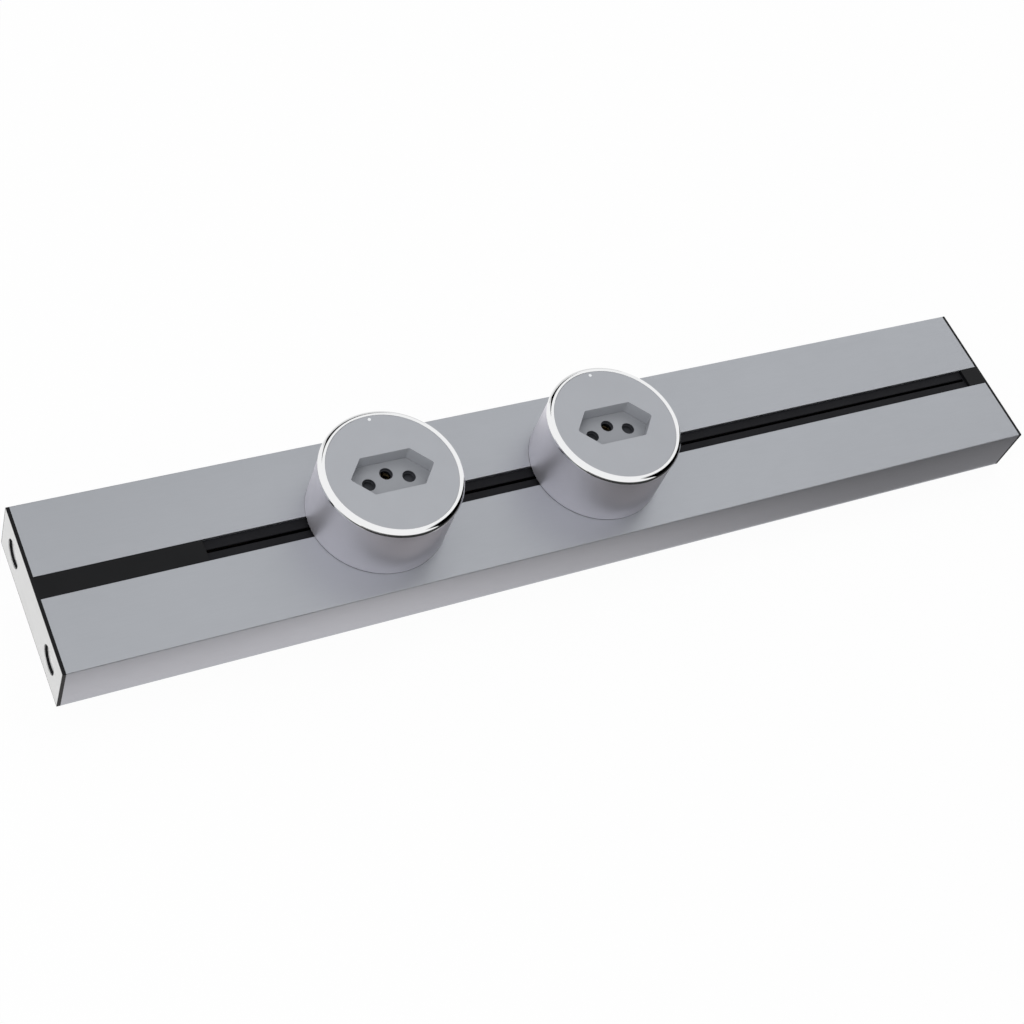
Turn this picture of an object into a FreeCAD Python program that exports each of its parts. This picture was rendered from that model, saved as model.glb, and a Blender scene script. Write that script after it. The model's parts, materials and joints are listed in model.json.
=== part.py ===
"""A power track: an aluminium channel with two round socket adaptors that twist in and slide along it.

Millimetres. X runs along the track, Y points to its back edge (up, when it hangs on a wall),
and Z rises from the mounting face. The origin is the middle of the mounting face.
"""
import FreeCAD, Part
import math
import os

V = FreeCAD.Vector
UP = V(0, 0, 1)
ALONG = V(1, 0, 0)
FRONT, BACK = -1, 1
LEFT, RIGHT = -1, 1

# Clearances
seat_gap = 0.1
slide_gap = 0.1
turn_gap = 0.15
slot_gap = 0.3

# Aluminium profile
profile_length = 500.0
track_width = 80.0
track_height = 27.2
side_wall = 1.6
top_wall = 1.4
base_wall = 1.6
outer_radius = 0.5
mouth_width = 10.7
channel_width = 32.0
web_wall = 1.6
port_offset = 25.5
port_radius = 4.5
port_bore_radius = 2.1
port_rib = 1.6

# Keyholes and cable hole in the base
keyhole_from_end = 50.0
keyhole_offset_y = 29.0
keyhole_run = 7.0
keyhole_head_radius = 4.25
keyhole_neck_radius = 2.2
cable_hole_from_end = 16.0
cable_bush_bore_radius = 4.0
cable_bush_wall = 2.0
cable_bush_flange_radius = 8.0
cable_bush_flange = 1.4

# Black strip: covers, lips and the slit between the lips
left_cover_length = 70.6
right_cover_length = 10.2
flange_lap = 2.15
lip_thickness = 1.1
slit_width = 1.6
slit_end_bridge = 0.6

# Insulating carriers and busbars
neck_radius = 2.5
carrier_left_from_end = 61.3
carrier_right_from_end = 4.0
slot_rail_thickness = 4.5
pocket_height = 6.6
cell_wall = 3.2
cell_corner_share = 0.18
bar_height = 4.8
bar_thickness = 1.4
bar_recess = 0.1
bar_wall = 1.5
earth_rail_height = 3.3
earth_bar_thickness = 1.6
bar_left_from_end = 37.0
bar_right_from_end = 6.0

# Terminal block
block_left_from_end = 28.0
block_right_from_end = 61.0
block_top_gap = 0.4
clamp_length = 8.0
clamp_width = 6.4
clamp_height = 7.0
clamp_left_from_end = 38.0
wire_bore_radius = 2.2
wire_entry = 5.0
clamp_screw_radius = 1.8
clamp_screw_length = 4.5
clamp_screw_head_radius = 2.6
clamp_screw_head = 2.0
clamp_screw_rise = 1.0
clamp_screw_slot = 0.8

# End caps, fascia plates, screws and plugs
cap_thickness = 1.5
plate_thickness = 0.4
plate_rim = 0.35
plug_radius = 6.4
plug_thickness = 1.0
plug_recess = 1.5
cap_bore_radius = 5.0
cap_bore_depth = 5.0
cup_floor = 1.4
cup_wall = 1.3
tongue_thickness = 1.5
tongue_depth = 5.0
tongue_inset = 0.4
cap_screw_radius = 2.0
cap_screw_length = 16.0
cap_screw_head_radius = 4.3
cap_screw_head = 2.2
cap_screw_cross = 5.2
cap_screw_cross_width = 0.8

# Adaptors: where each one stands from the left end, and outside sizes
adaptor_from_end = {"a": 149.0, "b": 260.5}
adaptor_height = 32.0
adaptor_radius = 31.8
body_wall = 1.9
body_step_wall = 1.5
body_edge = 0.3
skirt_gap = 0.4
foot_side_gap = 0.3
foot_thickness = 1.1
tongue_half_length = 20.0
tongue_side_gap = 0.25
tongue_clearance = 0.25

# Bead ring, gasket and face
bead_radius = 2.0
bead_top_flat = 0.5
ring_skirt_depth = 2.7
ring_skirt_wall = 1.3
gasket_thickness = 0.4
gasket_inset = 0.4
face_drop = 0.2
face_thickness = 1.8
recess_half_length = 19.6
recess_half_flat = 11.7
recess_half_width = 9.4
recess_depth = 7.4
recess_corner_radius = 1.1
cup_side_wall = 1.6
recess_floor = 1.8
pin_hole_radius = 3.0
pin_spacing = 19.0
earth_pin_offset = 3.6

# Indicator
lens_radius = 0.8
lens_from_edge = 1.7
lens_length = 3.6
board_length = 10.0
board_width = 7.5
board_thickness = 1.0
board_peg_radius = 1.2
board_peg_half_spacing = 3.5

# Base plate, bosses and screws
base_plate_thickness = 2.4
boss_radius = 3.4
boss_wall_gap = 3.5
boss_angles = (45.0, 135.0, 240.0, 300.0)
screw_shank_radius = 1.25
screw_head_radius = 2.8
screw_head_height = 1.2
screw_engagement = 14.0
screw_bore_reserve = 1.0

# Contact holder, contacts and shutter
holder_side_wall = 0.7
holder_front_wall = 0.3
holder_back_wall = 2.0
holder_corner_radius = 2.0
contact_radius = 3.0
contact_wall = 0.7
contact_slit = 0.6
contact_slit_depth = 8.0
contact_seat = 0.85
shutter_thickness = 1.6
shutter_wing_half_width = 3.4
shutter_cover_half = 3.3
shutter_bridge_width = 4.2
shutter_ramp_drop = 1.0
shutter_travel = 6.2
rail_width = 1.2
rail_back_length = 4.0
spring_coil_radius = 1.0
spring_wire = 0.4
spring_turns = 6
spring_reserve = 0.8
spring_stop_thickness = 1.9
spring_stop_half_width = 3.0
spring_spur_depth = 6.5

# Neck and T-head
post_key = 8.0
post_key_thickness = 1.0
post_key_corner = 1.0
head_end_inset = 1.1
head_height = 5.8
head_lead = 0.8
blade_width = 3.0
blade_height = 2.0
blade_root = 3.6
blade_end_gap = 0.2
earth_stem_radius = 2.2
plunger_radius = 1.5
plunger_edge = 0.4
plunger_reach = 2.1
plunger_inset = 2.8
plunger_gap = 0.3

# Places that follow from the sizes above
profile_end = profile_length / 2
half_width = track_width / 2
ceiling = track_height - top_wall
half_mouth = mouth_width / 2
half_flange = half_mouth + flange_lap
half_channel = channel_width / 2
chamber_near = half_channel + web_wall
chamber_far = half_width - side_wall
port_height = track_height / 2
cap_hole_radius = plug_radius + seat_gap
cup_radius = cap_hole_radius + cup_wall
cup_depth = cap_bore_depth + cup_floor
cable_place = -profile_end + cable_hole_from_end
cable_hole_radius = cable_bush_bore_radius + cable_bush_wall + seat_gap
lip_top = ceiling - seat_gap
lip_bottom = lip_top - lip_thickness
keyhole_places = (-profile_end + keyhole_from_end, profile_end - keyhole_from_end)
adaptor_places = {name: -profile_end + run for name, run in adaptor_from_end.items()}
slot_left = -profile_end + left_cover_length
slot_right = profile_end - right_cover_length
half_slot = neck_radius + slot_gap
inner_bottom = base_wall + seat_gap
carrier_far = half_channel - 2 * seat_gap
carrier_left = -profile_end + carrier_left_from_end
carrier_right = profile_end - carrier_right_from_end
pocket_top = lip_bottom - slot_rail_thickness
pocket_bottom = pocket_top - pocket_height
bar_middle = (pocket_bottom + pocket_top) / 2
bar_far = carrier_far - bar_wall
bar_near = bar_far - bar_thickness
pocket_reach = bar_near - bar_recess
bar_left = -profile_end + bar_left_from_end
bar_right = profile_end - bar_right_from_end
earth_bar_bottom = inner_bottom + earth_rail_height
earth_bar_top = earth_bar_bottom + earth_bar_thickness
block_top = lip_bottom - block_top_gap
clamp_left = -profile_end + clamp_left_from_end
body_step_radius = adaptor_radius - body_step_wall
foot_radius = body_step_radius - foot_side_gap
foot_bottom = track_height + slide_gap
foot_top = foot_bottom + foot_thickness
body_bottom = foot_top + turn_gap
skirt_bottom = track_height + skirt_gap
ring_top = track_height + adaptor_height
ring_bottom = ring_top - bead_radius
ring_inner_radius = adaptor_radius - bead_radius - bead_top_flat
body_top = ring_bottom - gasket_thickness
body_bore_radius = adaptor_radius - body_wall
base_plate_top = body_bottom + base_plate_thickness
face_top = ring_top - face_drop
face_bottom = face_top - face_thickness
face_radius = ring_inner_radius - seat_gap
lens_offset = face_radius - lens_from_edge
boss_circle_radius = body_bore_radius - boss_radius - boss_wall_gap
floor_top = face_top - recess_depth
floor_bottom = floor_top - recess_floor
shutter_top = floor_bottom - 2 * seat_gap
shutter_bottom = shutter_top - shutter_thickness
holder_top = shutter_bottom - 2 * seat_gap
holder_bottom = base_plate_top + seat_gap
contact_floor = holder_bottom + contact_seat
rail_near = pin_spacing / 2 + shutter_wing_half_width + 2 * seat_gap
holder_half_length = rail_near + rail_width + holder_side_wall
shutter_front = -shutter_cover_half - shutter_bridge_width
holder_front = shutter_travel + holder_front_wall - shutter_front
holder_back = earth_pin_offset + contact_radius + 2 * seat_gap + holder_back_wall
spring_length = shutter_travel + spring_turns * spring_wire + spring_reserve
spring_front = shutter_front - seat_gap
spring_stop = spring_front - spring_length - seat_gap
pin_places = [(-pin_spacing / 2, 0.0), (pin_spacing / 2, 0.0), (0.0, earth_pin_offset)]
head_top = pocket_top - (pocket_height - head_height) / 2
head_bottom = head_top - head_height
blade_reach = pocket_reach - blade_end_gap
head_half_length = blade_reach - head_end_inset
plunger_tip = earth_bar_top + plunger_gap
stem_bottom = plunger_tip + plunger_reach


def block(x0, x1, y0, y1, z0, z1):
    """A box between two corners."""
    return Part.makeBox(x1 - x0, y1 - y0, z1 - z0, V(x0, y0, z0))


def side_block(x0, x1, side, near, far, z0, z1):
    """A box on one side of the centre line, from near to far away from it."""
    y0, y1 = sorted((side * near, side * far))
    return block(x0, x1, y0, y1, z0, z1)


def rod(x, y, z0, z1, radius):
    """An upright cylinder."""
    return Part.makeCylinder(radius, z1 - z0, V(x, y, z0), UP)


def rod_along(x0, x1, y, z, radius):
    """A cylinder along the track."""
    start, length = min(x0, x1), abs(x1 - x0)
    return Part.makeCylinder(radius, length, V(start, y, z), ALONG)


def joined(first, *others):
    """Shapes fused into one solid, without the seams between them."""
    return first.multiFuse(list(others)).removeSplitter() if others else first


def turned(x, y, outline):
    """A ring or disc with this outline of (radius, height) points about an upright axis."""
    points = [V(x + r, y, z) for r, z in outline]
    face = Part.Face(Part.makePolygon(points + points[:1]))
    return face.revolve(V(x, y, 0), UP, 360)


def edges_along(shape, direction):
    """The straight edges of a shape that run in one direction."""
    found = []
    for edge in shape.Edges:
        if isinstance(edge.Curve, Part.Line):
            way = edge.Vertexes[1].Point - edge.Vertexes[0].Point
            if way.cross(direction).Length < 1e-6 * way.Length:
                found.append(edge)
    return found


def rounded(shape, direction, radius):
    """A shape with its edges in one direction rounded."""
    return shape.makeFillet(radius, edges_along(shape, direction))


def at_ends(make):
    """What make(side, port) builds, for both screw ports at both ends."""
    return [make(end, port) for end in (LEFT, RIGHT) for port in (FRONT, BACK)]


def port_run(end, depth0, depth1, port, radius):
    """A cylinder on a screw port's axis, between two depths under the end cap's outer face."""
    outer = end * (profile_end + cap_thickness)
    return rod_along(outer - end * depth0, outer - end * depth1, port * port_offset, port_height, radius)


def export(name, shape):
    """Write a node's solids to its own file."""
    shape.exportStep(f"parts/{name}.step")


def side_chamber(side):
    """The hollow on one side of the channel, around the screw port and its two ribs."""
    chamber = side_block(-profile_end, profile_end, side, chamber_near, chamber_far, base_wall, ceiling)
    port = rod_along(-profile_end, profile_end, side * port_offset, port_height, port_radius)
    low, high = port_height - port_rib / 2, port_height + port_rib / 2
    rib = side_block(-profile_end, profile_end, side, chamber_near, chamber_far, low, high)
    return chamber.cut(port.fuse(rib))


def keyhole(x, y):
    """A keyhole through the base: the head enters at the front and locks at the back."""
    low, high = -seat_gap, base_wall + seat_gap
    front, back = y - keyhole_run / 2, y + keyhole_run / 2
    neck = block(x - keyhole_neck_radius, x + keyhole_neck_radius, front, back, low, high)
    entry = rod(x, front, low, high, keyhole_head_radius)
    return entry.multiFuse([neck, rod(x, back, low, high, keyhole_neck_radius)])


def track_profile():
    """The aluminium extrusion, cut to length and drilled."""
    outside = block(-profile_end, profile_end, -half_width, half_width, 0, track_height)
    outside = rounded(outside, ALONG, outer_radius)
    channel = block(-profile_end, profile_end, -half_channel, half_channel, base_wall, ceiling)
    mouth = block(-profile_end, profile_end, -half_mouth, half_mouth, ceiling, track_height)
    cuts = [channel, mouth, side_chamber(FRONT), side_chamber(BACK)]
    for port in (FRONT, BACK):
        bore = rod_along(-profile_end, profile_end, port * port_offset, port_height, port_bore_radius)
        cuts.append(bore)
    cuts += at_ends(lambda end, port: port_run(end, 0, cup_depth + slot_gap, port, cup_radius + seat_gap))
    for x in keyhole_places:
        cuts += [keyhole(x, side * keyhole_offset_y) for side in (FRONT, BACK)]
    cuts.append(rod(cable_place, 0, -seat_gap, base_wall + seat_gap, cable_hole_radius))
    return outside.cut(cuts)


def carrier(side):
    """The insulating profile beside the slot and under the pocket, with a hollow cell."""
    ends = carrier_left, carrier_right
    body = side_block(*ends, side, half_slot, carrier_far, inner_bottom, pocket_bottom)
    near, far = half_slot + cell_wall, carrier_far - cell_wall
    low, high = inner_bottom + cell_wall, pocket_bottom - cell_wall
    cell = side_block(*ends, side, near, far, low, high)
    return body.cut(rounded(cell, ALONG, cell_corner_share * (high - low)))


def bar_holder(side):
    """The insulating strip at the end of the pocket, with the groove that a bar lies in."""
    ends = carrier_left, carrier_right
    strip = side_block(*ends, side, pocket_reach, carrier_far, pocket_bottom, pocket_top)
    low = bar_middle - bar_height / 2 - seat_gap / 2
    high = bar_middle + bar_height / 2 + seat_gap / 2
    return strip.cut(side_block(*ends, side, pocket_reach, bar_far + seat_gap, low, high))


def slot_rail(side):
    """The insulating rail over the pocket, which keeps a turned T-head from lifting out."""
    return side_block(carrier_left, carrier_right, side, half_slot, carrier_far, pocket_top, lip_bottom)


def side_busbar(side):
    """The bar at the end of one pocket."""
    low, high = bar_middle - bar_height / 2, bar_middle + bar_height / 2
    return side_block(bar_left, bar_right, side, bar_near, bar_far, low, high)


def earth_rail():
    """The strip at the bottom of the slot."""
    half = half_slot - seat_gap
    return block(carrier_left, carrier_right, -half, half, inner_bottom, earth_bar_bottom)


def earth_busbar():
    """The bar on the earth rail."""
    half = half_slot - 2 * seat_gap
    return block(bar_left, bar_right, -half, half, earth_bar_bottom, earth_bar_top)


def dust_lip(side):
    """One soft lip, opened around the necks and closed at the ends of the slit."""
    left, right = slot_left + seat_gap, slot_right - seat_gap
    sheet = side_block(left, right, side, seat_gap / 2, half_flange, lip_bottom, lip_top)
    slit_left, slit_right = slot_left + slit_end_bridge, slot_right - slit_end_bridge
    slit = side_block(slit_left, slit_right, side, 0, slit_width / 2, lip_bottom, lip_top)
    necks = [rod(x, 0, lip_bottom, lip_top, half_slot) for x in adaptor_places.values()]
    return sheet.cut([slit] + necks)


def blank_cover(left, right):
    """A cover that lies flush in the mouth, with a flange under the profile's edges."""
    flange = block(left, right, -half_flange, half_flange, lip_bottom, lip_top)
    half = half_mouth - seat_gap
    return joined(flange, block(left, right, -half, half, lip_bottom, track_height))


def end_cap(end):
    """A cap with a shallow seat for its plate, two screw cups and four locating tongues."""
    inner, outer = end * profile_end, end * (profile_end + cap_thickness)
    x0, x1 = sorted((inner, outer))
    flange = rounded(block(x0, x1, -half_width, half_width, 0, track_height), ALONG, outer_radius)
    added, cuts = [], []
    for port in (FRONT, BACK):
        added.append(port_run(end, cap_thickness / 2, cup_depth, port, cup_radius))
        cuts.append(port_run(end, 0, plug_recess + plug_thickness, port, cap_hole_radius))
        cuts.append(port_run(end, 0, cap_bore_depth, port, cap_bore_radius))
        cuts.append(port_run(end, 0, cup_depth, port, cap_screw_radius + 2 * seat_gap))
        near, far = chamber_near + tongue_inset, chamber_far - tongue_inset
        t0, t1 = sorted((end * (profile_end + cap_thickness / 2), end * (profile_end - tongue_depth)))
        low, high = base_wall + tongue_inset, ceiling - tongue_inset
        added.append(side_block(t0, t1, port, near, far, low, low + tongue_thickness))
        added.append(side_block(t0, t1, port, near, far, high - tongue_thickness, high))
    return joined(flange, *added).cut(cuts + [plate_seat(end, 0)])


def plate_seat(end, gap):
    """The space of a fascia plate in its cap, less a gap around it."""
    outer = end * (profile_end + cap_thickness)
    x0, x1 = sorted((outer, outer - end * plate_thickness))
    edge = half_width - plate_rim - gap
    low, high = plate_rim + gap, track_height - plate_rim - gap
    return block(x0, x1, -edge, edge, low, high)


def end_plate(end):
    """The light fascia plate, with two round holes."""
    holes = [port_run(end, 0, plate_thickness, port, cap_hole_radius) for port in (FRONT, BACK)]
    return plate_seat(end, seat_gap / 2).cut(holes)


def screw_plug(end, port):
    """A round plug over a cap screw."""
    return port_run(end, plug_recess, plug_recess + plug_thickness, port, plug_radius)


def cap_screw(end, port):
    """A pan-head screw with a cross slot, from the cup's floor into the profile's port."""
    head_start = cap_bore_depth - cap_screw_head
    head = port_run(end, head_start, cap_bore_depth, port, cap_screw_head_radius)
    shank = port_run(end, cap_bore_depth, cap_bore_depth + cap_screw_length, port, cap_screw_radius)
    outer = end * (profile_end + cap_thickness)
    x0, x1 = sorted((outer - end * head_start, outer - end * (head_start + cap_screw_head / 2)))
    arm, half = cap_screw_cross / 2, cap_screw_cross_width / 2
    y = port * port_offset
    slot = block(x0, x1, y - arm, y + arm, port_height - half, port_height + half)
    cross = block(x0, x1, y - half, y + half, port_height - arm, port_height + arm)
    return joined(head, shank).cut([slot, cross])


def terminals():
    """Each terminal as (middle across the track, underside of its clamp)."""
    side = bar_near - clamp_width / 2
    low = bar_middle - clamp_height / 2
    return [(FRONT * side, low), (BACK * side, low), (0.0, earth_bar_top)]


def terminal_clamp(y, z):
    """A brass clamp with a bore for the wire and one for its screw."""
    x0, x1 = clamp_left, clamp_left + clamp_length
    body = block(x0, x1, y - clamp_width / 2, y + clamp_width / 2, z, z + clamp_height)
    wire = rod_along(x0, x1, y, z + clamp_height / 2, wire_bore_radius)
    middle = (x0 + x1) / 2
    screw = rod(middle, y, z + clamp_height / 2, z + clamp_height, clamp_screw_radius + seat_gap)
    return body.cut([wire, screw])


def terminal_screw(y, z):
    """A slotted screw over a clamp."""
    x = clamp_left + clamp_length / 2
    head_bottom_z = z + clamp_height + clamp_screw_rise
    head_top_z = head_bottom_z + clamp_screw_head
    head = rod(x, y, head_bottom_z, head_top_z, clamp_screw_head_radius)
    shank = rod(x, y, head_bottom_z - clamp_screw_length, head_bottom_z, clamp_screw_radius)
    half = clamp_screw_slot / 2
    arm = clamp_screw_head_radius
    slot = block(x - arm, x + arm, y - half, y + half, head_top_z - clamp_screw_head / 2, head_top_z)
    return joined(head, shank).cut(slot)


def terminal_block():
    """The insulating block, with a pocket for each clamp, square wire entries and slots for the bars."""
    left, right = -profile_end + block_left_from_end, -profile_end + block_right_from_end
    body = block(left, right, -carrier_far, carrier_far, inner_bottom, block_top)
    cuts = []
    for y, z in terminals():
        half = clamp_width / 2 + seat_gap
        x0, x1 = clamp_left - seat_gap, clamp_left + clamp_length + seat_gap
        cuts.append(block(x0, x1, y - half, y + half, z - seat_gap, block_top))
        middle, reach = z + clamp_height / 2, wire_entry / 2
        cuts.append(block(left, x0, y - reach, y + reach, middle - reach, middle + reach))
    low = bar_middle - bar_height / 2 - seat_gap
    high = bar_middle + bar_height / 2 + seat_gap
    for side in (FRONT, BACK):
        near, far = bar_near - seat_gap, bar_far + seat_gap
        cuts.append(side_block(bar_left - seat_gap, right, side, near, far, low, high))
    half = half_slot - seat_gap
    cuts.append(block(bar_left - seat_gap, right, -half, half, earth_bar_bottom, earth_bar_top + seat_gap))
    return body.cut(cuts)


def cable_grommet():
    """A bush in the cable hole, with its flange inside the profile."""
    bore, neck = cable_bush_bore_radius, cable_bush_bore_radius + cable_bush_wall
    top = base_wall + cable_bush_flange
    outline = [(bore, seat_gap), (neck, seat_gap), (neck, base_wall)]
    outline += [(cable_bush_flange_radius, base_wall), (cable_bush_flange_radius, top), (bore, top)]
    return turned(cable_place, 0, outline)


def glide_foot(x):
    """The foot disc, with the guide tongue that keeps it square in the groove."""
    disc = rod(x, 0, foot_bottom, foot_top, foot_radius)
    half = half_mouth - tongue_side_gap
    low = lip_top + tongue_clearance
    tongue = block(x - tongue_half_length, x + tongue_half_length, -half, half, low, foot_top)
    tongue = rounded(tongue, UP, half / 2)
    hole = rod(x, 0, low, foot_top, neck_radius + slot_gap)
    return joined(disc, tongue).cut(hole)


def adaptor_body(x):
    """The round metal sleeve: stepped inside for its base plate, with a skirt down round the foot."""
    step = base_plate_top + seat_gap
    outline = [(body_step_radius, skirt_bottom), (adaptor_radius - body_edge, skirt_bottom)]
    outline += [(adaptor_radius, skirt_bottom + body_edge), (adaptor_radius, body_top - body_edge)]
    outline += [(adaptor_radius - body_edge, body_top), (body_bore_radius, body_top)]
    outline += [(body_bore_radius, step), (body_step_radius, step)]
    return turned(x, 0, outline)


def trim_gasket(x):
    """The thin black ring between the sleeve and the bead."""
    inner, outer = body_bore_radius + seat_gap, adaptor_radius - gasket_inset
    return turned(x, 0, [(inner, body_top), (outer, body_top), (outer, ring_bottom), (inner, ring_bottom)])


def chrome_ring(x):
    """The bright bead: a quarter round outside, a ledge for the face inside and a skirt below."""
    outer = adaptor_radius
    skirt_outer = body_bore_radius - seat_gap
    skirt_inner = skirt_outer - ring_skirt_wall
    skirt_bottom = ring_bottom - ring_skirt_depth
    top_outer = outer - bead_radius
    diagonal = bead_radius * math.sqrt(0.5)
    start, end = V(x + outer, 0, ring_bottom), V(x + top_outer, 0, ring_top)
    middle = V(x + top_outer + diagonal, 0, ring_bottom + diagonal)
    rest = [(top_outer, ring_top), (ring_inner_radius, ring_top), (ring_inner_radius, face_bottom)]
    rest += [(skirt_inner, face_bottom), (skirt_inner, skirt_bottom), (skirt_outer, skirt_bottom)]
    rest += [(skirt_outer, ring_bottom), (outer, ring_bottom)]
    edges = [Part.Arc(start, middle, end).toShape()]
    points = [V(x + r, 0, z) for r, z in rest]
    edges += [Part.makeLine(a, b) for a, b in zip(points, points[1:])]
    return Part.Face(Part.Wire(edges)).revolve(V(x, 0, 0), UP, 360)


def recess_prism(x, offset, z0, z1):
    """The six-sided socket outline, moved outwards by an offset and drawn up from z0 to z1."""
    run = recess_half_length - recess_half_flat
    slant = math.hypot(run, recess_half_width)
    nx, ny = recess_half_width / slant, run / slant
    reach = recess_half_length + offset / nx
    half = recess_half_width + offset
    flat = (recess_half_length * nx + offset - ny * half) / nx
    corners = [(reach, 0), (flat, half), (-flat, half), (-reach, 0), (-flat, -half), (flat, -half)]
    points = [V(x + cx, cy, z0) for cx, cy in corners]
    prism = Part.Face(Part.makePolygon(points + points[:1])).extrude(V(0, 0, z1 - z0))
    return rounded(prism, UP, recess_corner_radius + offset)


def boss_places(x):
    """The middles of the screw bosses."""
    places = []
    for angle in boss_angles:
        turn = math.radians(angle)
        places.append((x + boss_circle_radius * math.cos(turn), boss_circle_radius * math.sin(turn)))
    return places


def board_middle():
    """How far the indicator board's middle lies from the adaptor's axis."""
    return lens_offset - board_width / 2


def face_plate(x):
    """The face moulding: disc, socket cup with three pin holes, screw bosses and board pegs."""
    disc = rod(x, 0, face_bottom, face_top, face_radius)
    cup = recess_prism(x, cup_side_wall, floor_bottom, face_top)
    added, cuts = [cup], [recess_prism(x, 0, floor_top, face_top)]
    for bx, by in boss_places(x):
        added.append(rod(bx, by, base_plate_top + seat_gap, face_top, boss_radius))
        bore_top = base_plate_top + screw_engagement + screw_bore_reserve
        cuts.append(rod(bx, by, base_plate_top, bore_top, screw_shank_radius + seat_gap / 2))
    peg_bottom = face_top - lens_length - seat_gap
    for side in (LEFT, RIGHT):
        peg_x = x + side * board_peg_half_spacing
        added.append(rod(peg_x, board_middle(), peg_bottom, face_top, board_peg_radius))
    for px, py in pin_places:
        cuts.append(rod(x + px, py, floor_bottom, floor_top, pin_hole_radius))
    cuts.append(rod(x, lens_offset, face_bottom, face_top, lens_radius + seat_gap / 2))
    return joined(disc, *added).cut(cuts)


def indicator_lens(x):
    """The light pipe of the indicator, flush in the face."""
    return rod(x, lens_offset, face_top - lens_length, face_top, lens_radius)


def indicator_board(x):
    """The small circuit board under the light pipe."""
    top = face_top - lens_length - seat_gap
    y0 = board_middle() - board_width / 2
    half = board_length / 2
    return block(x - half, x + half, y0, y0 + board_width, top - board_thickness, top)


def base_plate(x):
    """The bottom plate, keyed for the neck and countersunk for its screws."""
    disc = rod(x, 0, body_bottom, base_plate_top, body_step_radius - seat_gap)
    half = post_key / 2 + seat_gap
    key_bottom = base_plate_top - post_key_thickness - seat_gap
    cuts = [block(x - half, x + half, -half, half, key_bottom, base_plate_top)]
    cuts.append(rod(x, 0, body_bottom, base_plate_top, neck_radius + seat_gap))
    for bx, by in boss_places(x):
        recess_top = body_bottom + screw_head_height + seat_gap
        cuts.append(rod(bx, by, body_bottom, recess_top, screw_head_radius + 2 * seat_gap))
        cuts.append(rod(bx, by, body_bottom, base_plate_top, screw_shank_radius + 3 * seat_gap))
    return disc.cut(cuts)


def housing_screws(x):
    """The screws that draw the base plate to the face's bosses."""
    screws = []
    for bx, by in boss_places(x):
        head_bottom_z = body_bottom + seat_gap
        head_top_z = head_bottom_z + screw_head_height
        head = rod(bx, by, head_bottom_z, head_top_z, screw_head_radius)
        shank = rod(bx, by, head_top_z, base_plate_top + screw_engagement, screw_shank_radius)
        screws.append(joined(head, shank))
    return screws


def contact_holder(x):
    """The insulating block: three contact wells, rails for the shutter and a stop for its spring."""
    half = holder_half_length
    body = block(x - half, x + half, -holder_front, holder_back, holder_bottom, holder_top)
    body = rounded(body, UP, holder_corner_radius)
    rails = []
    for side in (LEFT, RIGHT):
        r0, r1 = sorted((x + side * rail_near, x + side * (rail_near + rail_width)))
        rails.append(block(r0, r1, -holder_front + holder_corner_radius, rail_back_length,
                           holder_top - rail_width, shutter_top))
    stop_half = spring_stop_half_width
    stop_front = spring_stop - spring_stop_thickness
    spur = block(x - stop_half, x + stop_half, stop_front, -holder_front + holder_corner_radius,
                 holder_top - spring_spur_depth, holder_top)
    stop = block(x - stop_half, x + stop_half, stop_front, spring_stop, holder_top - rail_width, shutter_top)
    cuts = [rod(bx, by, holder_bottom, shutter_top, boss_radius + 2 * seat_gap) for bx, by in boss_places(x)]
    for px, py in pin_places:
        cuts.append(rod(x + px, py, contact_floor, shutter_top, contact_radius + 2 * seat_gap))
    trough = spring_coil_radius + spring_wire / 2 + seat_gap
    cuts.append(block(x - trough, x + trough, spring_stop, spring_front + seat_gap,
                      spring_height() - trough, shutter_top))
    return joined(body, *rails, spur, stop).cut(cuts)


def spring_height():
    """The height of the shutter spring's axis."""
    return shutter_top - spring_coil_radius - spring_wire / 2


def socket_contact(x, y):
    """A tulip contact: a tube slit crosswise at the top, on a closed foot."""
    low = contact_floor + seat_gap
    high = holder_top - 2 * seat_gap
    inner = contact_radius - contact_wall
    tube = rod(x, y, low, high, contact_radius)
    well = rod(x, y, low + contact_wall, high, inner)
    half = contact_slit / 2
    reach = contact_radius + seat_gap
    slit_bottom = high - contact_slit_depth
    across = block(x - reach, x + reach, y - half, y + half, slit_bottom, high)
    along = block(x - half, x + half, y - reach, y + reach, slit_bottom, high)
    return tube.cut([well, across, along])


def shutter(x):
    """Two ramped wings behind the line and neutral holes, on one bridge."""
    half = pin_spacing / 2 + shutter_wing_half_width
    bridge = block(x - half, x + half, shutter_front, -shutter_cover_half, shutter_bottom, shutter_top)
    wings = []
    low = shutter_top - shutter_ramp_drop
    outline = [(-shutter_cover_half, shutter_bottom), (shutter_cover_half, shutter_bottom)]
    outline += [(shutter_cover_half, low), (-shutter_cover_half, shutter_top)]
    for side in (LEFT, RIGHT):
        x0 = x + side * pin_spacing / 2 - shutter_wing_half_width
        points = [V(x0, y, z) for y, z in outline]
        face = Part.Face(Part.makePolygon(points + points[:1]))
        wings.append(face.extrude(V(2 * shutter_wing_half_width, 0, 0)))
    return joined(bridge, *wings)


def shutter_spring(x):
    """The coil spring of square wire between the stop and the shutter's bridge."""
    run = spring_length - spring_wire
    half = spring_wire / 2
    helix = Part.makeHelix(run / spring_turns, run, spring_coil_radius)
    near, far = spring_coil_radius - half, spring_coil_radius + half
    corners = [V(near, 0, -half), V(far, 0, -half), V(far, 0, half), V(near, 0, half)]
    coil = Part.Wire(helix).makePipeShell([Part.makePolygon(corners + corners[:1])], True, True)
    coil.rotate(V(0, 0, 0), ALONG, 90)
    coil.translate(V(x, spring_front - half, spring_height()))
    return coil


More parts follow.
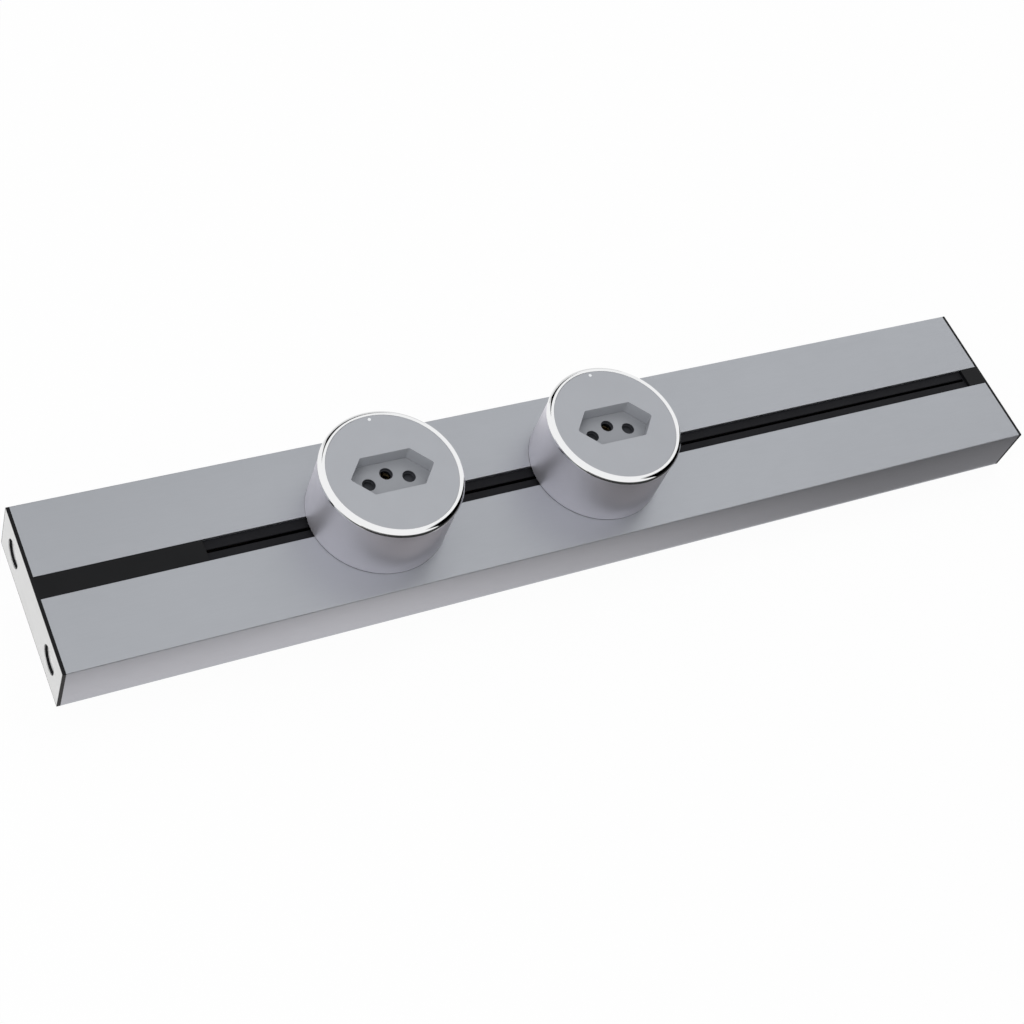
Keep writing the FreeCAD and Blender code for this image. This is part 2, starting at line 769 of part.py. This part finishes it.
def contact_post(x):
    """Neck, square key and T-head, with slots for the blades and a well for the plunger."""
    key_half = post_key / 2
    key_bottom = base_plate_top - post_key_thickness
    key = block(x - key_half, x + key_half, -key_half, key_half, key_bottom, base_plate_top)
    key = rounded(key, UP, post_key_corner)
    neck = rod(x, 0, head_top, key_bottom, neck_radius)
    head = block(x - neck_radius, x + neck_radius, -head_half_length, head_half_length, head_bottom, head_top)
    head = head.makeChamfer(head_lead, edges_along(head, ALONG))
    stem = rod(x, 0, stem_bottom, head_bottom, earth_stem_radius)
    cuts = [rod(x, 0, stem_bottom, stem_bottom + plunger_inset + seat_gap, plunger_radius + seat_gap)]
    half_x = blade_width / 2 + seat_gap
    low, high = blade_heights()
    low, high = low - seat_gap, high + seat_gap
    for side in (FRONT, BACK):
        near = blade_root - seat_gap
        cuts.append(side_block(x - half_x, x + half_x, side, near, head_half_length, low, high))
    return joined(key, neck, head, stem).cut(cuts)


def blade_heights():
    """The underside and top of the side contacts."""
    return bar_middle - blade_height / 2, bar_middle + blade_height / 2


def contact_blades(x):
    """The two side contacts in the T-head."""
    low, high = blade_heights()
    half = blade_width / 2
    return [side_block(x - half, x + half, s, blade_root, blade_reach, low, high) for s in (FRONT, BACK)]


def earth_plunger(x):
    """The sprung pin that meets the earth bar."""
    top = stem_bottom + plunger_inset
    outline = [(0, plunger_tip), (plunger_radius - plunger_edge, plunger_tip)]
    outline += [(plunger_radius, plunger_tip + plunger_edge), (plunger_radius, top), (0, top)]
    return turned(x, 0, outline)


def export_track():
    """Everything that stays with the track."""
    export("track_profile", track_profile())
    for side, name in ((FRONT, "front"), (BACK, "back")):
        export(f"carrier_{name}", carrier(side))
        export(f"bar_holder_{name}", bar_holder(side))
        export(f"slot_rail_{name}", slot_rail(side))
        export(f"lip_{name}", dust_lip(side))
    export("earth_rail", earth_rail())
    export("busbar_live", side_busbar(FRONT))
    export("busbar_neutral", side_busbar(BACK))
    export("busbar_earth", earth_busbar())
    export("blank_cover_left", blank_cover(-profile_end, slot_left))
    export("blank_cover_right", blank_cover(slot_right, profile_end))
    for end, name in ((LEFT, "left"), (RIGHT, "right")):
        export(f"end_cap_{name}", end_cap(end))
        export(f"end_plate_{name}", end_plate(end))
    export("end_cap_screws", Part.makeCompound(at_ends(cap_screw)))
    export("screw_plugs", Part.makeCompound(at_ends(screw_plug)))
    export("terminal_block", terminal_block())
    export("terminal_clamps", Part.makeCompound([terminal_clamp(y, z) for y, z in terminals()]))
    export("terminal_screws", Part.makeCompound([terminal_screw(y, z) for y, z in terminals()]))
    export("cable_grommet", cable_grommet())


def export_adaptor(name, x):
    """One adaptor at its place along the track."""
    pieces = {
        "glide_foot": glide_foot(x),
        "adaptor_body": adaptor_body(x),
        "trim_gasket": trim_gasket(x),
        "chrome_ring": chrome_ring(x),
        "face_plate": face_plate(x),
        "indicator_lens": indicator_lens(x),
        "indicator_board": indicator_board(x),
        "base_plate": base_plate(x),
        "housing_screws": Part.makeCompound(housing_screws(x)),
        "contact_holder": contact_holder(x),
        "socket_contacts": Part.makeCompound([socket_contact(x + px, py) for px, py in pin_places]),
        "shutter": shutter(x),
        "shutter_spring": shutter_spring(x),
        "contact_post": contact_post(x),
        "contact_blades": Part.makeCompound(contact_blades(x)),
        "earth_plunger": earth_plunger(x),
    }
    for piece, shape in pieces.items():
        export(f"{piece}_{name}", shape)


export_track()
for adaptor, place in adaptor_places.items():
    export_adaptor(adaptor, place)
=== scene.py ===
"""Looks of a power track with two round socket adaptors: finishes, fine pieces, lights, camera.

Everything is in metres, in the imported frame: X along the track, Y to its back edge, Z up.
"""
import json
import math

import bmesh
import bpy
from mathutils import Euler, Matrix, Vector


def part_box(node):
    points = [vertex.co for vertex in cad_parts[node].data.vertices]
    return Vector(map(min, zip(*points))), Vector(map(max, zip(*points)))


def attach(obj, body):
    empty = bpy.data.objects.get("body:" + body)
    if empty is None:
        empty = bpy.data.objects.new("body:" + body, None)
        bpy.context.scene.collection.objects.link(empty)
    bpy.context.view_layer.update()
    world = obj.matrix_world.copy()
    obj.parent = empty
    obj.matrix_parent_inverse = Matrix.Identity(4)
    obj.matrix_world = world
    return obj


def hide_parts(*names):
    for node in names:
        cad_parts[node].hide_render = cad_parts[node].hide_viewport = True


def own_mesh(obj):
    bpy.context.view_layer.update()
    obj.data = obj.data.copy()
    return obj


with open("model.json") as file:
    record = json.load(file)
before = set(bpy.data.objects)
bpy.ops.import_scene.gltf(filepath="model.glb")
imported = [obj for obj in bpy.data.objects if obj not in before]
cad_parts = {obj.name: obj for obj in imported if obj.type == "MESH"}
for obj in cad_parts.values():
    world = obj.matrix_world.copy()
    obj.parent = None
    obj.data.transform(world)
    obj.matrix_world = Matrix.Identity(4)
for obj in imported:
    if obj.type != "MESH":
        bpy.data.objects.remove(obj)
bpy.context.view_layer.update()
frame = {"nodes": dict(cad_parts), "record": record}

MM = 0.001
ADAPTORS = ("a", "b")
WHITE = (1, 1, 1, 1)

# Camera: its place, its turn in degrees, and its lens and sensor in millimetres
CAMERA_PLACE = (-0.40305, -0.35611, 0.68262)
CAMERA_TURN = (37.00186, -17.33396, -25.64278)
CAMERA_LENS = 64.2122
CAMERA_SENSOR = 36.0
CAMERA_SHIFT = (-0.05168, -0.08308)
CAMERA_CLIP = (0.01, 50.0)

# Surround and floor
SKY_LIGHT = 0.62
FLOOR_COLOUR = (0.92, 0.92, 0.92, 1)
FLOOR_GLOW_SHARE = 0.94
FLOOR_HALF = 4.0
FLOOR_DROP = 0.0001

# Lamps: name, place, target and power
LAMP_WIDTH = 0.9
LAMPS = (
    ("key_lamp", (-1.1, -0.35, 1.5), (0, 0, 0), 10.0),
    ("fill_lamp", (0.9, 0.7, 1.5), (0.1, 0, 0), 6.0),
)

# Cards: name, colour, corners, and fades as (axis, start, end, level at start, level at end).
# The first three lie just over the floor: one before the track, one beyond it to the front,
# one to its right. The others stand around.
CARD_WARM = (1, 0.96, 0.965, 1)
LOW = 0.0003
NEAR, TURN, FAR = -0.0405, -0.066, -4.0
BACK, FLAG, RIGHT = 3.5, 3.48, 4.3
CARDS = (
    ("near_card", CARD_WARM,
     [(-0.6, TURN, LOW), (1.0, TURN, LOW), (1.0, NEAR, LOW), (-0.6, NEAR, LOW)],
     [("X", -0.14, 0.205, 0.99, 0.32), ("Y", TURN, -0.056, 0.1, 1.0)]),
    ("far_card", WHITE,
     [(-1.5, FAR, LOW), (RIGHT, FAR, LOW), (RIGHT, TURN, LOW), (-1.5, TURN, LOW)],
     [("X", -0.9, -0.30, 0.7, 0.04)]),
    ("side_card", WHITE,
     [(0.29, TURN, LOW), (RIGHT, TURN, LOW), (RIGHT, 1.2, LOW), (0.29, 0.09, LOW)],
     [("X", 0.3, 0.4, 0.04, 0.03)]),
    ("right_card", WHITE,
     [(RIGHT, -4.1, 0.0), (RIGHT, 1.2, 0.0), (RIGHT, 0.2, 8.0), (RIGHT, -4.1, 8.0)],
     [("Z", 6.0, 8.0, 0.0, 0.8)]),
    ("front_card", WHITE,
     [(-5.0, FAR, 0.0), (RIGHT, FAR, 0.0), (RIGHT, FAR, 1.1), (-5.0, FAR, 1.1)],
     [("Z", 0.8, 1.1, 0.04, 0.8)]),
    ("flag_card", WHITE,
     [(-0.5, FLAG, 1.0), (2.3, FLAG, 2.9), (2.3, FLAG, 3.8), (-0.5, FLAG, 4.3)],
     [("X", 1.9, 2.3, 0.0, 0.2)]),
    ("back_card", WHITE,
     [(-1.0, BACK, 0.0), (3.3, BACK, 0.0), (3.3, BACK, 2.6), (-1.0, BACK, 2.6)],
     [("Z", 0.3, 2.6, 0.66, 1.0)]),
)

# Finishes: the ranges of the noise that give roughness and shade and, for the painted shade on the
# recess's floor, the low and high end of its fade and the share of the colour that is left under it
EVEN = (1, 1, 1)
NOISE_DETAIL = 3.0
NOISE_RANGE = (0.3, 0.7)
SHADE_RANGE = (0.35, 0.65)
BUMP_DEPTH = 0.02 * MM
BEVEL_SAMPLES = 6
RECESS_PAINTED_SHADE = (0.0518, 0.0524, 0.8)
FINISHES = {
    "anodised_aluminium": dict(
        colour=(0.441, 0.457, 0.488), roughness=0.42, metallic=0.95, change=0.012, cloud=14.0,
        stretch=(0.04, 1, 1), fine=2600.0, edge=0.15 * MM),
    "satin_metal": dict(
        colour=(0.81, 0.795, 0.85), roughness=0.53, metallic=1.0, change=0.01, cloud=60.0,
        stretch=(0.05, 0.05, 1), fine=3200.0, rough_change=0.03, edge=0.1 * MM),
    "polished_chrome": dict(
        colour=(0.865, 0.87, 0.875), roughness=0.05, metallic=1.0, change=0.004, fine=1500.0,
        rough_change=0.015, bump=0.01),
    "fascia_silver": dict(
        colour=(0.675, 0.675, 0.672), roughness=0.34, metallic=0.8, cloud=50.0,
        stretch=(1, 0.06, 1), fine=2400.0, edge=0.05 * MM),
    # face_grey carries painted shade on its recess's floor
    "face_grey": dict(
        colour=(0.405, 0.418, 0.447), roughness=0.55, specular=0.15, change=0.01, cloud=90.0,
        fine=4200.0, bump=0.12, edge=0.3 * MM, deep=RECESS_PAINTED_SHADE),
    "black_plastic": dict(
        colour=(0.0070, 0.0073, 0.0082), roughness=0.42, specular=0.13, change=0.08, cloud=70.0,
        fine=3600.0, rough_change=0.06, bump=0.1, edge=0.1 * MM),
    # A silver lighter than the fascia's: painted light that makes up for the shade on the screw
    # plugs in their recesses.
    "plug_silver_painted_light": dict(
        colour=(0.93, 0.93, 0.925), roughness=0.5, metallic=0.5, change=0.01, cloud=200.0),
    # A dark grey that is painted shade in the pin holes, on their sleeves and on the shutters under
    # them.
    "hole_shade_grey": dict(
        colour=(0.05, 0.052, 0.06), roughness=0.5, specular=0.2, change=0.05, cloud=300.0,
        bump=0.1),
    "black_rubber": dict(
        colour=(0.0085, 0.0087, 0.0105), roughness=0.62, specular=0.15, change=0.1, cloud=90.0,
        stretch=(0.2, 1, 1), fine=3000.0, rough_change=0.08, bump=0.15, edge=0.1 * MM),
    "copper": dict(
        colour=(0.72, 0.42, 0.28), roughness=0.3, metallic=1.0, change=0.06, cloud=120.0,
        stretch=(0.05, 1, 1), edge=0.1 * MM),
    "brass": dict(
        colour=(0.33, 0.26, 0.15), roughness=0.45, metallic=1.0, change=0.05, cloud=120.0,
        edge=0.1 * MM),
    "steel": dict(
        colour=(0.58, 0.58, 0.6), roughness=0.32, metallic=1.0, change=0.05, cloud=200.0,
        edge=0.08 * MM),
    "insulator_white": dict(
        colour=(0.74, 0.74, 0.7), roughness=0.5, specular=0.4, cloud=80.0, bump=0.08,
        edge=0.15 * MM),
    "light_lens": dict(
        colour=(0.76, 0.78, 0.80), roughness=0.3, change=0.01, fine=1500.0, bump=0.02,
        Emission_Color=(0.93, 0.97, 1.0, 1.0), Emission_Strength=0.04),
    "board_green": dict(
        colour=(0.04, 0.19, 0.1), roughness=0.3, change=0.15, cloud=300.0, bump=0.1),
}
# The shutters take the dark grey that is painted shade in the pin holes; the screw plugs take the
# silver with painted light.
OWN_FINISH = {
    "shutter_a": "hole_shade_grey", "shutter_b": "hole_shade_grey", "screw_plugs": "plug_silver_painted_light",
}

# Lips
SLIT_WIDTH = 1.6 * MM
SLIT_END_BRIDGE = 0.6 * MM
LIP_EDGE = 0.27 * MM
LIP_EDGE_STEPS = 3
LIP_SHARP = 40

# Bead ring
BEAD_RADIUS = 2.2 * MM
BEAD_PROUD = 0.4 * MM
BEAD_STEPS = 16
INNER_RADIUS = 0.18 * MM
INNER_STEPS = 6
FACE_GAP = 0.02 * MM
FACE_THICKNESS = 1.8 * MM
LEDGE_RADIUS = 28.5 * MM
SKIRT_RADIUS = 29.8 * MM
RING_SEGMENTS = 192
RING_SHARP = 35

# Hem of the housings
HEM_STEP = 0.03 * MM
HEM_DROP = 0.18 * MM
HEM_LAP = 0.3 * MM
HEM_WALL = 0.6 * MM

# Sleeves in the pin holes, dark grey as painted shade in the holes' depth
PIN_HOLE = 3.0 * MM
PIN_PLACES = [(-9.5 * MM, 0), (9.5 * MM, 0), (0, 3.6 * MM)]
FLOOR_DEPTH = 7.4 * MM
SLEEVE_DROP = 0.15 * MM
SLEEVE_LENGTH = 1.75 * MM
SLEEVE_WALL = 0.12 * MM
SLEEVE_RIM = 0.3 * MM
PIN_GUIDE = 2.45 * MM
SLEEVE_SEGMENTS = 48

# Shutter spring
SPRING_TURNS = 6
SPRING_STEPS = 20
SPRING_SIDES = 8
SPRING_COIL = 1.0 * MM
SPRING_WIRE = 0.45 * MM


def add_node(tree, kind, values=None, **settings):
    """A shader node with its settings and socket values."""
    node = tree.nodes.new(kind)
    for name, value in settings.items():
        setattr(node, name, value)
    for name, value in (values or {}).items():
        node.inputs[name].default_value = value
    return node


def own_coordinates(tree):
    """The object's own coordinates."""
    return add_node(tree, "ShaderNodeTexCoord").outputs["Object"]


def axes(tree):
    """The object's own X, Y and Z, each by itself."""
    parts = add_node(tree, "ShaderNodeSeparateXYZ")
    tree.links.new(own_coordinates(tree), parts.inputs[0])
    return parts.outputs


def grain(tree, stretch, scale):
    """Noise on the object's own coordinates, drawn out along some of the axes."""
    shape = add_node(tree, "ShaderNodeMapping", {"Scale": stretch})
    noise = add_node(tree, "ShaderNodeTexNoise", {"Scale": scale, "Detail": NOISE_DETAIL})
    tree.links.new(own_coordinates(tree), shape.inputs["Vector"])
    tree.links.new(shape.outputs["Vector"], noise.inputs["Vector"])
    return noise.outputs["Fac"]


def mapped(tree, source, start, end, low, high, kind="LINEAR"):
    """A value that goes from low where the source is at start to high where it is at end."""
    values = {"From Min": start, "From Max": end, "To Min": low, "To Max": high}
    level = add_node(tree, "ShaderNodeMapRange", values, interpolation_type=kind)
    tree.links.new(source, level.inputs["Value"])
    return level.outputs["Result"]


def shaded(tree, source, colour, change):
    """A colour that is a little darker and lighter where the noise is."""
    ramp = add_node(tree, "ShaderNodeValToRGB")
    for stop, place, sign in zip(ramp.color_ramp.elements, SHADE_RANGE, (-1, 1)):
        stop.position = place
        stop.color = (*[c * (1 + sign * change) for c in colour], 1)
    tree.links.new(source, ramp.inputs["Fac"])
    return ramp.outputs["Color"]


def paint_recess_shade(tree, tint, low, high, share):
    """Painted shade: a colour that keeps only a share of itself under a height, which darkens the
    recess's floor.
    """
    scaled = add_node(tree, "ShaderNodeVectorMath", operation="SCALE")
    level = mapped(tree, axes(tree)["Z"], low, high, share, 1.0, "SMOOTHSTEP")
    tree.links.new(tint, scaled.inputs[0])
    tree.links.new(level, scaled.inputs["Scale"])
    return scaled.outputs[0]


def finish(name, colour, roughness, metallic=0.0, specular=0.5, change=0.02, cloud=40.0,
           stretch=EVEN, fine=2500.0, rough_change=0.04, bump=0.05, edge=0.0, deep=None, **sockets):
    """A surface with a broad change of shade, a fine grain in roughness and bump, soft edges."""
    material = bpy.data.materials.new(name)
    material.use_nodes = True
    tree = material.node_tree
    shader = tree.nodes["Principled BSDF"]
    shader.inputs["Metallic"].default_value = metallic
    shader.inputs["Specular IOR Level"].default_value = specular
    for socket, value in sockets.items():
        shader.inputs[socket.replace("_", " ")].default_value = value
    tint = shaded(tree, grain(tree, EVEN, cloud), colour, change)
    # Painted shade: the colour falls to a share of itself below a height, on the recess's floor.
    if deep:
        tint = paint_recess_shade(tree, tint, *deep)
    fines = grain(tree, stretch, fine)
    rough = mapped(tree, fines, *NOISE_RANGE, roughness - rough_change, roughness + rough_change)
    relief = add_node(tree, "ShaderNodeBump", {"Strength": bump, "Distance": BUMP_DEPTH})
    tree.links.new(fines, relief.inputs["Height"])
    if edge:
        corner = add_node(tree, "ShaderNodeBevel", {"Radius": edge}, samples=BEVEL_SAMPLES)
        tree.links.new(corner.outputs["Normal"], relief.inputs["Normal"])
    tree.links.new(tint, shader.inputs["Base Color"])
    tree.links.new(rough, shader.inputs["Roughness"])
    tree.links.new(relief.outputs["Normal"], shader.inputs["Normal"])
    return material


def math_node(tree, operation, first, second):
    """The result of an operation on two values, each a socket or a number."""
    node = add_node(tree, "ShaderNodeMath", operation=operation)
    for value, socket in zip((first, second), node.inputs):
        if isinstance(value, float):
            socket.default_value = value
        else:
            tree.links.new(value, socket)
    return node.outputs[0]


def seen_rays(tree):
    """One for a ray that the camera sees, straight, in gloss or through glass, and else none."""
    path = add_node(tree, "ShaderNodeLightPath").outputs
    first = math_node(tree, "MAXIMUM", path["Is Camera Ray"], path["Is Glossy Ray"])
    return math_node(tree, "MAXIMUM", first, path["Is Transmission Ray"])


def mixed_output(tree, share, first, second, output):
    """Sends a share of the second shader and the rest of the first to the output."""
    mixed = add_node(tree, "ShaderNodeMixShader")
    tree.links.new(share, mixed.inputs["Fac"])
    tree.links.new(first.outputs[0], mixed.inputs[1])
    tree.links.new(second.outputs[0], mixed.inputs[2])
    tree.links.new(mixed.outputs[0], tree.nodes[output].inputs["Surface"])


def make_world():
    """A white surround for the eye, and an even, dimmer light."""
    world = bpy.data.worlds.new("studio")
    world.use_nodes = True
    tree = world.node_tree
    light = tree.nodes["Background"]
    light.inputs["Color"].default_value = WHITE
    light.inputs["Strength"].default_value = SKY_LIGHT
    white = add_node(tree, "ShaderNodeBackground", {"Color": WHITE})
    mixed_output(tree, seen_rays(tree), light, white, "World Output")
    bpy.context.scene.world = world


def new_object(name, data):
    """An object in the scene's own collection."""
    thing = bpy.data.objects.new(name, data)
    bpy.context.scene.collection.objects.link(thing)
    return thing


def make_sheet(name, material_name, corners):
    """A four-sided sheet of the stage, with a material that has no shader yet."""
    mesh = bpy.data.meshes.new(name)
    mesh.from_pydata(corners, [], [(0, 1, 2, 3)])
    sheet = new_object(name, mesh)
    material = bpy.data.materials.new(material_name)
    material.use_nodes = True
    tree = material.node_tree
    tree.nodes.remove(tree.nodes["Principled BSDF"])
    mesh.materials.append(material)
    return sheet, tree


def make_floor():
    """A pale floor, white to the eye, that keeps the object's shadow."""
    half, low = FLOOR_HALF, -FLOOR_DROP
    corners = [(-half, -half, low), (half, -half, low), (half, half, low), (-half, half, low)]
    _, tree = make_sheet("floor", "pale_floor", corners)
    matt = add_node(tree, "ShaderNodeBsdfDiffuse", {"Color": FLOOR_COLOUR})
    glow = add_node(tree, "ShaderNodeEmission", {"Color": WHITE})
    share = math_node(tree, "MULTIPLY", seen_rays(tree), FLOOR_GLOW_SHARE)
    mixed_output(tree, share, matt, glow, "Material Output")


def make_card(name, colour, corners, fades):
    """A card that only gloss shows, for metal to mirror: its level is its fades' product."""
    card, tree = make_sheet(name, name, corners)
    places = axes(tree)
    levels = [mapped(tree, places[axis], *ends, "SMOOTHSTEP") for axis, *ends in fades]
    level = levels[0]
    for part in levels[1:]:
        level = math_node(tree, "MULTIPLY", level, part)
    glow = add_node(tree, "ShaderNodeEmission", {"Color": colour})
    tree.links.new(level, glow.inputs["Strength"])
    tree.links.new(glow.outputs[0], tree.nodes["Material Output"].inputs["Surface"])
    card.visible_camera = False
    card.visible_diffuse = False
    card.visible_shadow = False
    card.visible_transmission = False


def make_lamp(name, place, target, power):
    """A square soft lamp that faces a point and doesn't show in gloss."""
    data = bpy.data.lights.new(name, "AREA")
    data.shape = "SQUARE"
    data.size = LAMP_WIDTH
    data.energy = power
    lamp = new_object(name, data)
    lamp.location = place
    lamp.rotation_euler = (Vector(place) - Vector(target)).to_track_quat("Z", "Y").to_euler()
    lamp.visible_glossy = False


def make_camera():
    """The camera at the photograph's place."""
    data = bpy.data.cameras.new("camera")
    data.sensor_width = CAMERA_SENSOR
    data.lens = CAMERA_LENS
    data.shift_x, data.shift_y = CAMERA_SHIFT
    data.clip_start, data.clip_end = CAMERA_CLIP
    camera = new_object("camera", data)
    camera.location = CAMERA_PLACE
    camera.rotation_euler = Euler([math.radians(a) for a in CAMERA_TURN], "XYZ")
    bpy.context.scene.camera = camera


def new_piece(name, bm, material, body, slot, *nodes):
    """A piece from a mesh in the making, riding on a body in place of some nodes."""
    bmesh.ops.recalc_face_normals(bm, faces=bm.faces)
    mesh = bpy.data.meshes.new(name)
    bm.to_mesh(mesh)
    bm.free()
    mesh.materials.append(material)
    piece = new_object(name, mesh)
    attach(piece, body)
    if nodes:
        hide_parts(*nodes)
    return piece


def smooth(piece, sharp=None):
    """Shades a piece smooth, apart from the edges that turn by more than some degrees."""
    for polygon in piece.data.polygons:
        polygon.use_smooth = True
    if sharp:
        piece.data.set_sharp_from_angle(angle=math.radians(sharp))


def make_lip(side, looks):
    """A soft lip, straight along its slit: it opens only under an adaptor, which hides it."""
    low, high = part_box(f"lip_{side}")
    if side == "front":
        outer, inner, edge = low.y, high.y, -SLIT_WIDTH / 2
    else:
        outer, inner, edge = high.y, low.y, SLIT_WIDTH / 2
    left, right = low.x + SLIT_END_BRIDGE, high.x - SLIT_END_BRIDGE
    outline = [(low.x, outer), (high.x, outer), (high.x, inner), (right, inner)]
    outline += [(right, edge), (left, edge), (left, inner), (low.x, inner)]
    bm = bmesh.new()
    face = bm.faces.new([bm.verts.new((x, y, low.z)) for x, y in outline])
    grown = bmesh.ops.extrude_face_region(bm, geom=[face])["geom"]
    top = [v for v in grown if isinstance(v, bmesh.types.BMVert)]
    bmesh.ops.translate(bm, verts=top, vec=(0, 0, high.z - low.z))
    piece = new_piece(f"soft_lip_{side}", bm, looks["black_rubber"], "track", "black_rubber",
                      f"lip_{side}")
    rounding = piece.modifiers.new("edges", "BEVEL")
    rounding.width = LIP_EDGE
    rounding.segments = LIP_EDGE_STEPS
    rounding.limit_method = "ANGLE"
    smooth(piece, LIP_SHARP)


def arc(steps, span=2 * math.pi):
    """The cosine and sine at even steps over a span, which is a full circle if none is given."""
    angles = [span * i / steps for i in range(steps + 1)]
    return [(math.cos(angle), math.sin(angle)) for angle in angles]


def join_rings(bm, first, second):
    """A closed band of faces between two rings of vertices."""
    for j in range(len(first)):
        k = (j + 1) % len(first)
        bm.faces.new((first[j], second[j], second[k], first[k]))


def add_turned(bm, x, y, outline, segments):
    """A closed ring with this outline of (radius, height) about an upright axis."""
    rings = [[bm.verts.new((x + r * c, y + r * s, z)) for r, z in outline]
             for c, s in arc(segments)[:-1]]
    for i, ring in enumerate(rings):
        join_rings(bm, ring, rings[(i + 1) % segments])


def ring_outline(name):
    """The middle and section of a bead ring, from its node and its neighbours' sizes."""
    ring_low, ring_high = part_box(f"chrome_ring_{name}")
    face_low, face_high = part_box(f"face_plate_{name}")
    outer = (ring_high.x - ring_low.x) / 2 + BEAD_PROUD
    middle = (ring_high.x + ring_low.x) / 2
    top = ring_high.z
    bead_low = top - BEAD_RADIUS
    points = [(outer - BEAD_RADIUS + BEAD_RADIUS * c, bead_low + BEAD_RADIUS * s)
              for c, s in arc(BEAD_STEPS, math.pi / 2)]
    inner = (face_high.x - face_low.x) / 2 + FACE_GAP
    points += [(inner + INNER_RADIUS * (1 - s), top - INNER_RADIUS * (1 - c))
               for c, s in arc(INNER_STEPS, math.pi / 2)]
    under_face = face_high.z - FACE_THICKNESS
    points += [(inner, under_face), (LEDGE_RADIUS, under_face), (LEDGE_RADIUS, ring_low.z)]
    points += [(SKIRT_RADIUS, ring_low.z), (SKIRT_RADIUS, bead_low)]
    return middle, points


def make_ring(name, looks):
    """The bright bead around a face."""
    middle, outline = ring_outline(name)
    bm = bmesh.new()
    add_turned(bm, middle, 0, outline, RING_SEGMENTS)
    piece = new_piece(f"bead_ring_{name}", bm, looks["polished_chrome"], f"adaptor_{name}",
                      "polished_chrome", f"chrome_ring_{name}")
    smooth(piece, RING_SHARP)


def make_hem(name, looks):
    """The hem of a housing, which leaves only a hairline over the track."""
    low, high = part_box(f"adaptor_body_{name}")
    middle, outer = (low.x + high.x) / 2, (high.x - low.x) / 2 - HEM_STEP
    inner, bottom, top = outer - HEM_WALL, low.z - HEM_DROP, low.z + HEM_LAP
    outline = [(inner, bottom), (outer, bottom), (outer, top), (inner, top)]
    bm = bmesh.new()
    add_turned(bm, middle, 0, outline, RING_SEGMENTS)
    piece = new_piece(f"housing_hem_{name}", bm, looks["satin_metal"], f"adaptor_{name}",
                      "satin_metal")
    smooth(piece, RING_SHARP)


def make_shade_sleeves(name, looks):
    """Sleeves that line the pin holes, with a rim that guides the pin; their dark grey is painted
    shade in the holes.
    """
    low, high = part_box(f"face_plate_{name}")
    middle = (low + high) / 2
    floor = high.z - FLOOR_DEPTH
    top, bottom = floor - SLEEVE_DROP, floor - SLEEVE_LENGTH
    bore, rim = PIN_HOLE - SLEEVE_WALL, bottom + SLEEVE_RIM
    outline = [(PIN_GUIDE, bottom), (PIN_HOLE, bottom), (PIN_HOLE, top)]
    outline += [(bore, top), (bore, rim), (PIN_GUIDE, rim)]
    bm = bmesh.new()
    for px, py in PIN_PLACES:
        add_turned(bm, middle.x + px, middle.y + py, outline, SLEEVE_SEGMENTS)
    new_piece(f"pin_shade_sleeves_{name}", bm, looks["hole_shade_grey"], f"adaptor_{name}", "black_plastic")


def make_spring(name, looks):
    """A round-wire coil in the place of the shutter's spring."""
    low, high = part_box(f"shutter_spring_{name}")
    middle = (low + high) / 2
    length = high.y - low.y - SPRING_WIRE
    along = Vector((0, 1, 0))
    steps = SPRING_TURNS * SPRING_STEPS
    bm = bmesh.new()
    rings = []
    for i, (c, s) in enumerate(arc(steps, 2 * math.pi * SPRING_TURNS)):
        out = Vector((c, 0, s))
        start = Vector((middle.x, low.y + SPRING_WIRE / 2 + length * i / steps, middle.z))
        centre = start + out * SPRING_COIL
        rings.append([bm.verts.new(centre + (out * across + along * ahead) * SPRING_WIRE / 2)
                      for across, ahead in arc(SPRING_SIDES)[:-1]])
    for first, second in zip(rings, rings[1:]):
        join_rings(bm, first, second)
    bm.faces.new(rings[0])
    bm.faces.new(rings[-1][::-1])
    piece = new_piece(f"coil_spring_{name}", bm, looks["steel"], f"adaptor_{name}", "steel",
                      f"shutter_spring_{name}")
    smooth(piece)
    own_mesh(piece)


def dress_nodes(looks):
    """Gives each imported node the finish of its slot, or its own."""
    slots = {part["node"]: part["material_slot"] for part in frame["record"]["subparts"]}
    for node, piece in frame["nodes"].items():
        for place in piece.material_slots:
            place.material = looks[OWN_FINISH.get(node, slots[node])]


bpy.context.scene.view_settings.view_transform = "Standard"
looks = {name: finish(name, **settings) for name, settings in FINISHES.items()}
make_world()
make_floor()
for card in CARDS:
    make_card(*card)
for lamp in LAMPS:
    make_lamp(*lamp)
make_camera()
dress_nodes(looks)
for side in ("front", "back"):
    make_lip(side, looks)
for name in ADAPTORS:
    make_ring(name, looks)
    make_hem(name, looks)
    make_shade_sleeves(name, looks)
    make_spring(name, looks)
